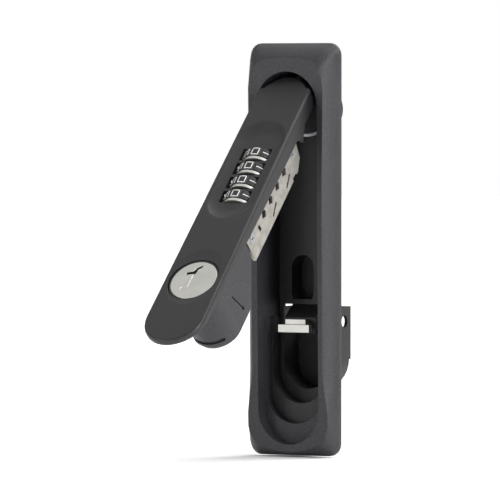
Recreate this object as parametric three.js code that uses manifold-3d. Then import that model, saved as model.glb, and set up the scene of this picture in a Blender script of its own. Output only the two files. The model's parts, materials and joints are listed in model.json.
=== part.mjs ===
// Swing-handle lock for a cabinet door: a die-cast dish housing, and a handle that tilts out of it
// about a cross pin and then swings about a round boss. The handle carries four code wheels, a key
// cylinder, and a sliding latch that catches on a keeper in the housing.
// Millimetres. X is to the right, +Y goes into the door, +Z is up. The origin is on the door's face,
// at the middle of the housing's flange. The handle is drawn shut, then tilted out by its group.
import * as THREE from "three";
import { mergeVertices } from "three/addons/utils/BufferGeometryUtils.js";
import Module from "manifold-3d";

const wasm = await Module();
wasm.setup();

// Driving dimensions: housing
const flangeWidth = 40.5;
const flangeHeight = 165;
const flangeCorner = 5;
const flangeEdge = 1.5;
const rimHeightTop = 10;
const rimHeightBottom = 7;
const rimShare = 0.4;
const topLand = 11.3;
const openingRadius = 13.8;
const openingEdge = 4.3;
const dishFloor = 9.4;
const dishDraft = 0.8;
const castWall = 1.3;
const floorToKey = 22.26;
const swingOffset = 1.4;
const bossRadius = 10;
const bossEnd = 20.4;
const boreRadius = 7.5;
const wellFloor = 21.5;
const windowTop = 25.5;
const windowLow = 33;
const crossHoleRadius = 2.5;
const crossHoleDepth = 17.5;
const shelfStep = 8.5;
const shelfDepth = 4.4;

// Driving dimensions: handle, key cylinder and code wheels
const openAngle = 45;
const pinRadius = 1.5;
const pinDepth = 4.5;
const pinAboveSwing = 7.94;
const handleEdge = 7;
const handleTipEdge = 2.4;
const faceWall = 3.2;
const sideWall = 1;
const keyFromPin = 108.5;
const keyDiscRadius = 9.7;
const plugRadius = 4.4;
const cylinderWall = 0.8;
const blockDepth = 30;
const wheelPitch = 7.7;
const wheelCount = 4;
const firstWheel = 39.2;
const digits = 10;
const shaftRadius = 1.6;
const plateWall = 1.2;
const latchThick = 2;
const latchTravel = 2.6;
const cylinderLong = 23.2;
const camThick = 1.6;
const latchRail = 1.5;
const keeperHead = 3.2;

// Clearances
const gap = 0.3;
const running = 0.08;
const loose = 0.7;

// Sizes that follow from the opening's: the handle fills it, and the well, the wheels, the cassette's
// plates, the latch's rails and the keeper fit inside one another.
const rimLand = rimShare * (flangeWidth / 2 - openingRadius);
const handleTopHalfWidth = openingRadius - 2;
const handleTipRadius = openingRadius - 0.7;
const wellRadius = openingRadius - 2.85;
const wheelRadius = handleTopHalfWidth - 4.2;
const plateOut = handleTopHalfWidth - sideWall - gap;
const plateIn = plateOut - plateWall;
const railOut = plateIn - 0.5;
const railIn = railOut - latchRail;
const keeperHalfWidth = railIn - 0.2;
const wheelSink = 0.4;
const cassetteDepth = wheelSink + 2 * wheelRadius + plateWall + 1;

// Places worked out from the sizes
const halfHeight = flangeHeight / 2;
const spineTop = halfHeight - topLand - openingRadius;
const spineBottom = -halfHeight + openingEdge + openingRadius;
const swingZ = spineTop - swingOffset;
const pinZ = swingZ + pinAboveSwing;
const faceY = -(rimHeightTop - 1);
const pinY = faceY + pinDepth;
const handleReach = pinZ - spineBottom;
const keyZ = pinZ - keyFromPin;
const floorEnd = -keyZ - floorToKey;

// --- Solids ---------------------------------------------------------------------------------

const weld = 1e-4;

function bareCopy(geometry) {
  const copy = geometry.clone();
  copy.deleteAttribute("normal");
  copy.deleteAttribute("uv");
  return copy;
}

function toSolid(geometry) {
  const merged = mergeVertices(bareCopy(geometry), weld);
  return new wasm.Manifold(
    new wasm.Mesh({
      numProp: 3,
      vertProperties: merged.attributes.position.array,
      triVerts: new Uint32Array(merged.index.array),
    }),
  );
}

function toGeometry(solid) {
  const mesh = solid.getMesh();
  const places = new Float32Array(mesh.numVert * 3);
  for (let i = 0; i < mesh.numVert; i++) {
    const start = i * mesh.numProp;
    places.set(mesh.vertProperties.subarray(start, start + 3), i * 3);
  }
  const geometry = new THREE.BufferGeometry();
  geometry.setAttribute("position", new THREE.BufferAttribute(places, 3));
  geometry.setIndex(new THREE.BufferAttribute(mesh.triVerts, 1));
  geometry.computeVertexNormals();
  return geometry;
}

const join = (first, ...rest) => rest.reduce((all, next) => all.add(next), first);
const cut = (first, ...rest) => rest.reduce((all, next) => all.subtract(next), first);

function box(x, y, z) {
  const geometry = new THREE.BoxGeometry(x[1] - x[0], y[1] - y[0], z[1] - z[0]);
  geometry.translate((x[0] + x[1]) / 2, (y[0] + y[1]) / 2, (z[0] + z[1]) / 2);
  return toSolid(geometry);
}

const turns = {
  x: new THREE.Matrix4().makeRotationZ(-Math.PI / 2),
  y: new THREE.Matrix4(),
  z: new THREE.Matrix4().makeRotationX(Math.PI / 2),
};

// A round bar along one axis, between two places on it, through a point given as [x, y, z].
function rod(axis, radius, from, to, at = [0, 0, 0], sides = 40, farRadius = radius) {
  const geometry = new THREE.CylinderGeometry(farRadius, radius, to - from, sides);
  geometry.translate(0, (from + to) / 2, 0);
  geometry.applyMatrix4(turns[axis]);
  const place = new THREE.Vector3(...at);
  place[axis] = 0;
  geometry.translate(place.x, place.y, place.z);
  return toSolid(geometry);
}

const alongX = new THREE.Vector3(1, 0, 0);
const alongY = new THREE.Vector3(0, 1, 0);
const alongZ = new THREE.Vector3(0, 0, 1);
const bases = {
  x: [alongY, alongZ, alongX],
  y: [alongX, alongZ, alongY],
  z: [alongX, alongY, alongZ],
};

// A flat outline pushed along one axis. The points are (y, z) along x, (x, z) along y, (x, y) along z.
function prism(axis, points, from, to) {
  const shape = new THREE.Shape(points.map(([a, b]) => new THREE.Vector2(a, b)));
  const geometry = new THREE.ExtrudeGeometry(shape, { depth: to - from, bevelEnabled: false });
  geometry.translate(0, 0, from);
  geometry.applyMatrix4(new THREE.Matrix4().makeBasis(...bases[axis]));
  return toSolid(faceOut(geometry));
}

function faceOut(geometry) {
  const welded = mergeVertices(bareCopy(geometry), weld);
  const place = welded.attributes.position;
  const corners = welded.index.array;
  const a = new THREE.Vector3();
  const b = new THREE.Vector3();
  const c = new THREE.Vector3();
  let volume = 0;
  for (let i = 0; i < corners.length; i += 3) {
    a.fromBufferAttribute(place, corners[i]);
    b.fromBufferAttribute(place, corners[i + 1]);
    c.fromBufferAttribute(place, corners[i + 2]);
    volume += a.dot(b.cross(c));
  }
  if (volume < 0) {
    corners.reverse();
  }
  return welded;
}

// A closed skin over rings of points, each with the same number of points, and a fan at both ends.
function loft(rings) {
  const count = rings[0].length;
  const places = rings.flat().flatMap((p) => [p.x, p.y, p.z]);
  const corners = [];
  for (let r = 0; r + 1 < rings.length; r++) {
    for (let i = 0; i < count; i++) {
      const a = r * count + i;
      const b = r * count + ((i + 1) % count);
      corners.push(a, b, b + count, a, b + count, a + count);
    }
  }
  addFan(places, corners, rings[0], 0, true);
  addFan(places, corners, rings.at(-1), (rings.length - 1) * count, false);
  const geometry = new THREE.BufferGeometry();
  geometry.setAttribute("position", new THREE.Float32BufferAttribute(places, 3));
  geometry.setIndex(corners);
  return toSolid(faceOut(geometry));
}

function addFan(places, corners, ring, start, reverse) {
  const middle = new THREE.Vector3();
  ring.forEach((p) => middle.add(p));
  middle.divideScalar(ring.length);
  const hub = places.length / 3;
  places.push(middle.x, middle.y, middle.z);
  for (let i = 0; i < ring.length; i++) {
    const a = start + i;
    const b = start + ((i + 1) % ring.length);
    corners.push(...(reverse ? [hub, b, a] : [hub, a, b]));
  }
}

// A ring with straight sides and round ends, in a plane square to Y.
function slotRing(y, topRadius, topZ, lowRadius, lowZ, steps = 16) {
  const ring = [];
  for (let i = 0; i <= steps; i++) {
    const angle = (Math.PI * i) / steps;
    ring.push(new THREE.Vector3(topRadius * Math.cos(angle), y, topZ + topRadius * Math.sin(angle)));
  }
  for (let i = 0; i <= steps; i++) {
    const angle = Math.PI + (Math.PI * i) / steps;
    ring.push(new THREE.Vector3(lowRadius * Math.cos(angle), y, lowZ + lowRadius * Math.sin(angle)));
  }
  return ring;
}

// A reach past the whole object, for cutters that go right through it.
const far = 2 * flangeHeight;

// --- Materials ------------------------------------------------------------------------------

function material(color, roughness, metalness) {
  return new THREE.MeshStandardMaterial({ color, roughness, metalness });
}

const blackCast = () => material(0x3b3b3e, 0.55, 0.35);
const blackFace = () => material(0x434347, 0.5, 0.3);
const zinc = () => material(0xb5b2aa, 0.45, 0.85);
const nickel = () => material(0xdcdcd6, 0.25, 1);
const steel = () => material(0xa9abad, 0.35, 1);
const brass = () => material(0xb59a5a, 0.4, 0.9);
const blackPlastic = () => material(0x1b1b1d, 0.45, 0);

const lock = new THREE.Group();
const handle = new THREE.Group();
handle.position.set(0, pinY, pinZ);
handle.rotation.x = THREE.MathUtils.degToRad(-openAngle);
lock.add(handle);

function addPart(group, name, solid, look) {
  const mesh = new THREE.Mesh(toGeometry(solid), look);
  mesh.name = name;
  group.add(mesh);
  return mesh;
}

// --- Housing --------------------------------------------------------------------------------

// The flange outline: a rounded rectangle, with points along its straight edges too.
function flangeOutline() {
  const half = flangeWidth / 2 - flangeCorner;
  const tall = halfHeight - flangeCorner;
  const centres = [
    [half, tall],
    [-half, tall],
    [-half, -tall],
    [half, -tall],
  ];
  const cornerSteps = 5;
  const longSteps = 26;
  const shortSteps = 8;
  const points = [];
  const addPoint = (x, z, angle) => {
    points.push([x + flangeCorner * Math.cos(angle), z + flangeCorner * Math.sin(angle)]);
  };
  centres.forEach(([x, z], corner) => {
    for (let i = 0; i <= cornerSteps; i++) {
      addPoint(x, z, (Math.PI / 2) * (corner + i / cornerSteps));
    }
    const [nextX, nextZ] = centres[(corner + 1) % 4];
    const steps = corner % 2 ? longSteps : shortSteps;
    for (let i = 1; i < steps; i++) {
      const share = i / steps;
      addPoint(x + (nextX - x) * share, z + (nextZ - z) * share, (Math.PI / 2) * (corner + 1));
    }
  });
  return points;
}

// Where the rim's ridge runs, as half of its outline from top to bottom.
function ridgeCurve() {
  const top = halfHeight - 5.6;
  const low = -halfHeight + 1.6;
  const side = openingRadius + rimLand;
  return new THREE.SplineCurve([
    new THREE.Vector2(0, top),
    new THREE.Vector2(side * 0.5, top - 0.9),
    new THREE.Vector2(side * 0.82, top - 3.7),
    new THREE.Vector2(side, top - 9.4),
    new THREE.Vector2(side + 0.4, top - 17),
    new THREE.Vector2(side - 0.3, top - 57),
    new THREE.Vector2(side - 0.4, low + 50),
    new THREE.Vector2(side - 0.5, low + 32),
    new THREE.Vector2(side + 0.9, low + 21),
    new THREE.Vector2(side + 1.8, low + 13),
    new THREE.Vector2(side + 0.6, low + 6.4),
    new THREE.Vector2(side * 0.76, low + 2.5),
    new THREE.Vector2(side * 0.35, low + 0.5),
    new THREE.Vector2(0, low),
  ]);
}

function ridgeOutline() {
  const right = ridgeCurve().getPoints(90);
  const left = right.slice(1, -1).reverse().map((p) => new THREE.Vector2(-p.x, p.y));
  return [...right, ...left];
}

// From a place on the middle line, the way out through a point of the flange outline.
function wayOut([x, z]) {
  const rootZ = THREE.MathUtils.clamp(z, spineBottom, spineTop);
  const length = Math.hypot(x, z - rootZ);
  return { rootZ, dx: x / length, dz: (z - rootZ) / length, length };
}

function reachTo(outline, way) {
  let best = 0;
  outline.forEach((a, i) => {
    const b = outline[(i + 1) % outline.length];
    const ex = b.x - a.x;
    const ez = b.y - a.y;
    const across = way.dx * ez - way.dz * ex;
    if (Math.abs(across) < 1e-9) {
      return;
    }
    const ax = a.x;
    const az = a.y - way.rootZ;
    const out = (ax * ez - az * ex) / across;
    const along = (ax * way.dz - az * way.dx) / across;
    if (along >= -1e-6 && along <= 1 + 1e-6 && out > best) {
      best = out;
    }
  });
  return best;
}

function rimHeight(z) {
  const share = THREE.MathUtils.clamp((z + halfHeight) / flangeHeight, 0, 1);
  return THREE.MathUtils.lerp(rimHeightBottom, rimHeightTop, share ** 0.6);
}

function rimRing(ways, reach, height) {
  return ways.map((way, i) => {
    const x = way.dx * reach(way, i);
    const z = way.rootZ + way.dz * reach(way, i);
    return new THREE.Vector3(x, -height(z), z);
  });
}

function rimBody() {
  const ways = flangeOutline().map(wayOut);
  const ridge = ridgeOutline();
  const toRidge = ways.map((way) => reachTo(ridge, way));
  const between = (share) => (way, i) => THREE.MathUtils.lerp(way.length, toRidge[i], share);
  const risen = (share) => (z) => THREE.MathUtils.lerp(flangeEdge, rimHeight(z), share);
  return loft([
    rimRing(ways, (way) => way.length, () => 0),
    rimRing(ways, (way) => way.length, () => flangeEdge),
    rimRing(ways, between(0.3), risen(0.45)),
    rimRing(ways, between(0.62), risen(0.76)),
    rimRing(ways, between(0.88), risen(0.94)),
    rimRing(ways, between(1), risen(1)),
    rimRing(ways, () => openingRadius, (z) => rimHeight(z) - 0.6),
  ]);
}

const dishRadius = openingRadius - dishDraft;

// The hollow the handle drops into, with its floor behind the door's face.
function dishCutter() {
  const front = -rimHeightTop - 2;
  return loft([
    slotRing(front, openingRadius + 0.1, spineTop, openingRadius + 0.1, spineBottom),
    slotRing(dishFloor, dishRadius, spineTop, dishRadius, spineBottom),
  ]);
}

function dishBody() {
  const low = dishRadius + castWall;
  return loft([
    slotRing(-flangeEdge, openingRadius + castWall, spineTop, openingRadius + castWall, spineBottom),
    slotRing(dishFloor, low, spineTop, low, spineBottom),
    slotRing(dishFloor + castWall, low - 1.2, spineTop, low - 1.2, spineBottom),
  ]);
}

// Two crescent shelves under the handle's tip fill the dish's lower end, around the lock's well.
function shelves() {
  const low = openingRadius + castWall / 2;
  const shelfTop = faceY + handleEdge + loose;
  const lowTop = shelfTop + shelfDepth;
  const shelfStart = -floorEnd - wellRadius - 1;
  const firstZ = spineBottom + shelfStep - 1;
  const secondRadius = dishRadius - 0.5;
  const secondZ = firstZ + shelfStep - 1;
  const block = loft([
    slotRing(shelfTop, low, shelfStart, low, spineBottom),
    slotRing(dishFloor + castWall / 2, low, shelfStart, low, spineBottom),
  ]);
  const first = loft([
    slotRing(shelfTop - 1, dishRadius, -floorEnd, dishRadius, firstZ),
    slotRing(lowTop, dishRadius, -floorEnd, dishRadius, firstZ),
  ]);
  const second = loft([
    slotRing(lowTop - 1, secondRadius, -floorEnd, secondRadius, secondZ),
    slotRing(dishFloor + castWall, secondRadius, -floorEnd, secondRadius, secondZ),
  ]);
  return cut(block, first, second);
}

const wellTop = -floorEnd - 1;

// The well behind the dish that takes the handle's lock block. Its back is open above the window line.
function wellBody() {
  const outer = wellRadius + castWall;
  const round = loft([
    slotRing(dishFloor - castWall, outer, keyZ, outer, keyZ),
    slotRing(wellFloor, outer, keyZ, outer, keyZ),
    slotRing(wellFloor + castWall, outer - 1, keyZ, outer - 1, keyZ),
  ]);
  return round.add(box([-outer, outer], [dishFloor - castWall, wellFloor + castWall], [keyZ, wellTop]));
}

function wellCutter() {
  const wide = dishRadius;
  const keyDrop = 0.8;
  const hollow = join(
    loft([
      slotRing(dishFloor / 3, wide, keyZ, wide, keyZ - keyDrop * 3),
      slotRing(dishFloor, wellRadius, keyZ, wellRadius, keyZ - keyDrop),
      slotRing(wellFloor, wellRadius, keyZ, wellRadius, keyZ - keyDrop),
    ]),
    prism(
      "z",
      [
        [-wide, dishFloor / 3],
        [wide, dishFloor / 3],
        [wellRadius, dishFloor],
        [wellRadius, wellFloor],
        [-wellRadius, wellFloor],
        [-wellRadius, dishFloor],
      ],
      keyZ,
      -floorEnd,
    ),
  );
  const window = box([-wellRadius, wellRadius], [wellFloor - 1, wellFloor + 4], [-windowLow, -windowTop]);
  return hollow.add(window);
}

const bridgeHalfWidth = keeperHalfWidth - 0.1;
const keeperTop = -floorEnd - 5.7;
const keeperWingTop = keeperTop - 2.1;
const keeperLow = keeperWingTop - keeperHead;
const keeperFront = faceY + 6;
const keeperWing = 2.5;
const keeperBack = keeperFront + 5.3;
const noseBack = dishFloor + castWall;

// A nose under the dish's floor that carries the keeper, with a slanted front.
function keeperNose() {
  const front = keeperBack + gap;
  const side = [
    [noseBack, -floorEnd + 2],
    [dishFloor + 0.1, -floorEnd + 2],
    [dishFloor, -floorEnd],
    [front, keeperTop + 0.6],
    [front, keeperLow - gap],
    [noseBack, keeperLow - gap],
  ];
  return prism("x", side, -bridgeHalfWidth, bridgeHalfWidth);
}

const noseScrewRadius = 1.8;
const noseScrewZ = (keeperTop + keeperLow) / 2;

// The slot in the dish's floor, with its own floor further back.
const slotX = -2.4;
const slotHalfWidth = 5;
const slotTop = -2.5 - slotHalfWidth;
const slotFloor = dishFloor + 8.4;

function floorSlot() {
  const outer = slotHalfWidth + castWall;
  const shifted = (ring) => ring.map((p) => p.clone().add(new THREE.Vector3(slotX, 0, 0)));
  const shell = loft([
    shifted(slotRing(dishFloor, outer, slotTop, outer, -floorEnd + outer)),
    shifted(slotRing(slotFloor + castWall, outer, slotTop, outer, -floorEnd + outer)),
  ]);
  const foot = box(
    [slotX - outer, slotX + outer],
    [dishFloor, slotFloor + castWall],
    [wellTop - castWall, -floorEnd + outer],
  );
  const hollow = loft([
    shifted(slotRing(dishFloor - 2, slotHalfWidth, slotTop, slotHalfWidth, -floorEnd + slotHalfWidth)),
    shifted(slotRing(slotFloor, slotHalfWidth, slotTop, slotHalfWidth, -floorEnd + slotHalfWidth)),
  ]);
  const mouth = box(
    [slotX - slotHalfWidth, slotX + slotHalfWidth],
    [dishFloor + castWall, slotFloor],
    [wellTop - castWall - 1, -floorEnd + slotHalfWidth],
  );
  return { body: shell.add(foot), hollow: hollow.add(mouth) };
}

function makeHousing() {
  const slot = floorSlot();
  const boss = rod("y", bossRadius, dishFloor, bossEnd, [0, 0, swingZ], 48);
  const bore = rod("y", boreRadius, dishFloor - 1, bossEnd + 1, [0, 0, swingZ], 48);
  const outside = join(rimBody(), dishBody(), wellBody(), boss, slot.body);
  const hollowed = cut(outside, dishCutter(), bore, slot.hollow).add(shelves());
  const crossHole = rod("x", crossHoleRadius, -far, far, [0, crossHoleDepth, wellTop - 6], 24);
  const screwHole = rod("y", noseScrewRadius + gap, keeperBack, dishFloor + 4, [0, 0, noseScrewZ], 16);
  const welled = cut(hollowed, wellCutter(), crossHole);
  return cut(welled.add(keeperNose()), screwHole);
}

addPart(lock, "housing", makeHousing(), blackCast());

// --- Keeper ---------------------------------------------------------------------------------

// A T-shaped catch: a narrow stem with a wider head below it, which the latch's teeth pass behind.
const stemHalfWidth = 4.7;

function makeKeeper() {
  const stem = box([-stemHalfWidth, stemHalfWidth], [keeperFront + 1.6, keeperBack], [keeperLow, keeperTop]);
  const head = box(
    [-keeperHalfWidth, keeperHalfWidth],
    [keeperFront, keeperFront + keeperWing],
    [keeperLow, keeperWingTop],
  );
  const thread = rod("y", noseScrewRadius, keeperFront + 1.8, keeperBack + 1, [0, 0, noseScrewZ], 16);
  return cut(stem.add(head), thread);
}

// A round-headed screw along Y with a cross recess, its head at the far end from its tip.
function screwAlongY(tip, seat, radius, headRadius, headHeight, at) {
  const shank = rod("y", radius, tip, seat + 0.1, at, 16);
  const head = rod("y", headRadius, seat, seat + headHeight, at, 24, headRadius * 0.7);
  const arm = headRadius * 0.42;
  const deep = [seat + headHeight * 0.45, seat + headHeight + 1];
  const wide = box([at[0] - arm, at[0] + arm], deep, [at[2] - 0.25, at[2] + 0.25]);
  const tall = box([at[0] - 0.25, at[0] + 0.25], deep, [at[2] - arm, at[2] + arm]);
  return cut(shank.add(head), wide, tall);
}

addPart(lock, "keeper", makeKeeper(), nickel());
addPart(
  lock,
  "keeper_screw",
  screwAlongY(keeperFront + 2.4, noseBack + gap, noseScrewRadius - gap, 3.2, 2, [0, 0, noseScrewZ]),
  steel(),
);

// --- Rotor that carries the handle ------------------------------------------------------------

const yokeHalfWidth = 4.7;
const yokeRadius = 3.1;
const flangeFront = dishFloor - 4.6;
const washerBack = dishFloor - gap;
const washerThick = 0.7;
const flangeBack = washerBack - washerThick - 0.1;
const ringThick = 1.2;
const ringFront = bossEnd + gap;
const grooveDepth = 1;
const shankEnd = ringFront + ringThick + 1;
const spindleEnd = shankEnd + 7;
const spindleHalf = 4;

function makeRotor() {
  const at = [0, 0, swingZ];
  const flange = rod("y", bossRadius - 0.1, flangeFront, flangeBack, at, 48);
  const shank = rod("y", boreRadius - running, flangeBack - 0.1, shankEnd, at, 48);
  const spindle = box(
    [-spindleHalf, spindleHalf],
    [shankEnd - 0.1, spindleEnd],
    [swingZ - spindleHalf, swingZ + spindleHalf],
  );
  const neck = box(
    [-yokeHalfWidth, yokeHalfWidth],
    [pinY, flangeFront + 0.1],
    [pinZ - yokeRadius, pinZ + yokeRadius - 0.01],
  );
  const eye = rod("x", yokeRadius, -yokeHalfWidth, yokeHalfWidth, [0, pinY, pinZ], 32);
  const trim = rod("y", bossRadius + 2, pinY - 10, flangeFront + 1, at, 48);
  const pinHole = rod("x", pinRadius + gap, -yokeHalfWidth - 1, yokeHalfWidth + 1, [0, pinY, pinZ], 24);
  const groove = cut(
    rod("y", boreRadius + 1, ringFront - 0.1, ringFront + ringThick + 0.1, at, 48),
    rod("y", boreRadius - grooveDepth, ringFront - 1, ringFront + ringThick + 1, at, 48),
  );
  const screwHole = rod("y", 2.1, shankEnd, spindleEnd + 1, at, 20);
  const solid = join(flange, shank, spindle, neck.add(eye).intersect(trim));
  return cut(solid, pinHole, groove, screwHole);
}

addPart(lock, "rotor", makeRotor(), blackCast());

function makeWasher() {
  const at = [0, 0, swingZ];
  const disc = rod("y", bossRadius + 1, washerBack - washerThick, washerBack, at, 56);
  return cut(disc, rod("y", boreRadius + gap, washerBack - 2, washerBack + 1, at, 48));
}

addPart(lock, "rotor_washer", makeWasher(), steel());

// A retaining ring, open on one side, in the groove behind the boss.
function makeRetainingRing() {
  const at = [0, 0, swingZ];
  const ring = rod("y", bossRadius - 1, ringFront, ringFront + ringThick - 0.1, at, 40);
  const inside = rod("y", boreRadius - grooveDepth + gap, ringFront - 1, ringFront + ringThick + 1, at, 40);
  const mouth = box([-3, 3], [ringFront - 1, ringFront + ringThick + 1], [swingZ - bossRadius, swingZ]);
  return cut(ring, inside, mouth);
}

addPart(lock, "retaining_ring", makeRetainingRing(), steel());

// --- Handle shell -------------------------------------------------------------------------------
// From here on places are in the handle's own frame: the pin is at the origin, and a distance s from
// the pin towards the tip is at z = -s.

const pinFace = -pinDepth;
const wallEnd = pinFace + handleEdge;
const faceBack = pinFace + faceWall;
const topCentre = 4.5;
const shellStart = 9;
const knuckleRadius = 7.2;
const taperStart = 34;
const tabTip = 23.5;
const tabDepth = 4;

function halfWidthAt(s) {
  const share = (s - topCentre) / (handleReach - topCentre);
  return THREE.MathUtils.lerp(handleTopHalfWidth, handleTipRadius, share);
}

function handleRing(y, inset) {
  return slotRing(y, handleTopHalfWidth - inset, -topCentre, handleTipRadius - inset, -handleReach, 20);
}

const swingRadius = dishRadius - gap;

// The room inside the housing's opening, as the handle sees it at one angle of tilt.
function archRoom(angle) {
  const front = openingRadius - gap;
  const low = front - dishDraft;
  const room = loft([
    slotRing(-far, front, spineTop, front, -far, 24),
    slotRing(-rimHeightTop, front, spineTop, front, -far, 24),
    slotRing(dishFloor, low, spineTop, low, -far, 24),
    slotRing(far, low, spineTop, low, -far, 24),
  ]);
  return seenByHandle(room, angle);
}

// The room that the handle has to swing in once it is tilted out: all of space in front of the rim,
// and a round room about the swing axis inside the dish.
function swingRoom() {
  const front = box([-far, far], [-far, -rimHeightTop - gap], [-far, far]);
  const round = rod("y", swingRadius, -rimHeightTop - 1, far, [0, 0, swingZ], 64);
  return seenByHandle(front.add(round), openAngle);
}

function seenByHandle(solid, angle) {
  const geometry = toGeometry(solid);
  geometry.translate(0, -pinY, -pinZ);
  geometry.rotateX(THREE.MathUtils.degToRad(angle));
  return toSolid(geometry);
}

function shellBlank() {
  const body = loft([
    handleRing(pinFace, 1),
    handleRing(pinFace + 0.35, 0.4),
    handleRing(pinFace + 1.1, 0),
    handleRing(wallEnd, 0.2),
  ]);
  const below = box([-far, far], [-far, far], [-far, 0]);
  const knuckle = rod("x", knuckleRadius, -far, far, [0, 0, 0], 64);
  return body.intersect(below.add(knuckle));
}

const lugHalfWidth = Math.sqrt(swingRadius ** 2 - (pinAboveSwing + pinRadius) ** 2) + 0.3;
const lugRadius = 4.2;

function hingeLugs() {
  const lugs = rod("x", lugRadius, -lugHalfWidth, lugHalfWidth, [0, 0, 0], 32);
  const webs = box([-lugHalfWidth, lugHalfWidth], [faceBack - 1, 0], [-lugRadius, lugRadius - 0.01]);
  return lugs.add(webs);
}

// A small pointed tab below the side walls, just past the hinge.
function wallTabs() {
  const points = [
    [wallEnd - 2, -tabTip + 6],
    [wallEnd - 2, -tabTip - 2.5],
    [wallEnd, -tabTip - 2.5],
    [wallEnd + tabDepth, -tabTip],
    [wallEnd, -tabTip + 6],
  ];
  const out = halfWidthAt(tabTip) - 0.2;
  const inside = halfWidthAt(tabTip) - sideWall;
  return join(prism("x", points, inside, out), prism("x", points, -out, -inside));
}

const yokeGap = yokeHalfWidth + gap;
const yokeRoom = yokeRadius + 0.6;

function yokeSlot() {
  const round = rod("x", yokeRoom, -yokeGap, yokeGap, [0, 0, 0], 32);
  const back = box([-yokeGap, yokeGap], [-yokeRoom + 0.1, far], [-yokeRoom - 1, far]);
  return round.add(back);
}

function shellHollow() {
  const inner = (y) => {
    const top = halfWidthAt(shellStart) - sideWall;
    const low = handleTipRadius - sideWall;
    return slotRing(y, top, -shellStart - top, low, -handleReach, 20);
  };
  const round = loft([inner(faceBack), inner(wallEnd + 3)]);
  const square = halfWidthAt(shellStart) - sideWall;
  return round.add(box([-square, square], [faceBack, wallEnd + 3], [-shellStart - square, -shellStart]));
}

const wheelPlace = (i) => firstWheel + wheelPitch * i;
const wheelsMiddle = firstWheel + (wheelPitch * (wheelCount - 1)) / 2;
const wheelY = wheelRadius + pinFace + wheelSink;
const scoopDepth = 1.9;
const scoopLand = 1;
const scoopBeyond = 11.9;
const scoopShift = 2;
const scoopSlope = 7.5;
const scoopSteps = 6;
const keyDishDepth = 1;
const keyDishHalfWidth = 11.8;
const keyDishHalfLong = 15.4;
const keyDishShift = 1.5;

// A long shallow scoop in the face around the wheels, steepest at its edge.
function scoop() {
  const wide = halfWidthAt(wheelsMiddle) - scoopLand;
  const straight = (wheelPitch * wheelCount) / 2 + scoopBeyond - wide;
  const middle = wheelsMiddle - scoopShift;
  const ring = (y, radius) => slotRing(y, radius, straight - middle, radius, -straight - middle, 20);
  const rings = [ring(pinFace - 1, wide)];
  for (let i = 0; i <= scoopSteps; i++) {
    const share = i / scoopSteps;
    rings.push(ring(pinFace + scoopDepth * (1 - (1 - share) ** 2), wide - scoopSlope * share));
  }
  return loft(rings);
}

// A shallow oval dish around the key's face.
function keyDish() {
  const sink = 5;
  const share = Math.sqrt(1 - ((sink - keyDishDepth) / sink) ** 2);
  const ball = new THREE.SphereGeometry(1, 48, 32);
  ball.scale(keyDishHalfWidth / share, sink, keyDishHalfLong / share);
  ball.translate(0, pinFace - sink + keyDishDepth, -keyFromPin + keyDishShift);
  return toSolid(ball);
}

// What is planed off the side walls, which get lower towards the tip.
function wallTaper() {
  const end = handleReach + handleTipRadius;
  const points = [
    [wallEnd, -taperStart],
    [pinFace + handleTipEdge, -end],
    [pinFace + handleTipEdge, -end - 5],
    [far, -end - 5],
    [far, -taperStart],
  ];
  return prism("x", points, -far, far);
}

const wheelShows = faceWall - wheelSink;
const windowHalfWidth = Math.sqrt(wheelRadius ** 2 - (wheelRadius - wheelShows) ** 2) + 0.6;
const barWidth = 1.4;

function wheelWindows() {
  const halfLong = (wheelPitch - barWidth) / 2;
  return Array.from({ length: wheelCount }, (_, i) => {
    const s = wheelPlace(i);
    const deep = [pinFace - 1, faceBack + 1];
    return box([-windowHalfWidth, windowHalfWidth], deep, [-s - halfLong, -s + halfLong]);
  });
}

const ringOuter = keyDiscRadius + 0.7;
const seatDepth = 2.2;
const discSink = 0.7;
const bodyRadius = plugRadius + cylinderWall;

function keySeat() {
  const at = [0, 0, -keyFromPin];
  const seat = rod("y", ringOuter + gap, pinFace - 1, pinFace + seatDepth, at, 48);
  const hole = rod("y", bodyRadius + gap, pinFace - 1, faceBack + 1, at, 40);
  return [keyDish(), seat, hole];
}

function makeShell() {
  const walls = cut(shellBlank(), shellHollow(), wallTaper());
  const solid = join(walls, hingeLugs(), wallTabs());
  const rooms = [0, 15, 30, openAngle].map(archRoom);
  const fitted = [...rooms, swingRoom()].reduce((all, room) => all.intersect(room), solid);
  const pinHole = rod("x", pinRadius + gap, -far, far, [0, 0, 0], 24);
  return cut(fitted, yokeSlot(), pinHole, scoop(), ...wheelWindows(), ...keySeat());
}

addPart(handle, "handle_shell", makeShell(), blackFace());

function makePin() {
  const bevel = 0.4;
  const end = lugHalfWidth - gap - bevel;
  return join(
    rod("x", pinRadius, -end, end, [0, 0, 0], 24),
    rod("x", pinRadius, end - 0.01, end + bevel, [0, 0, 0], 24, pinRadius - bevel),
    rod("x", pinRadius - bevel, -end - bevel, -end + 0.01, [0, 0, 0], 24, pinRadius),
  );
}

addPart(handle, "hinge_pin", makePin(), steel());

// --- Code wheels ----------------------------------------------------------------------------

const sleeveRadius = 4;
const collarRadius = wheelRadius - 0.15;
const wheelLong = wheelPitch - barWidth - 0.5;
const collarLong = 1.3;

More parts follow.
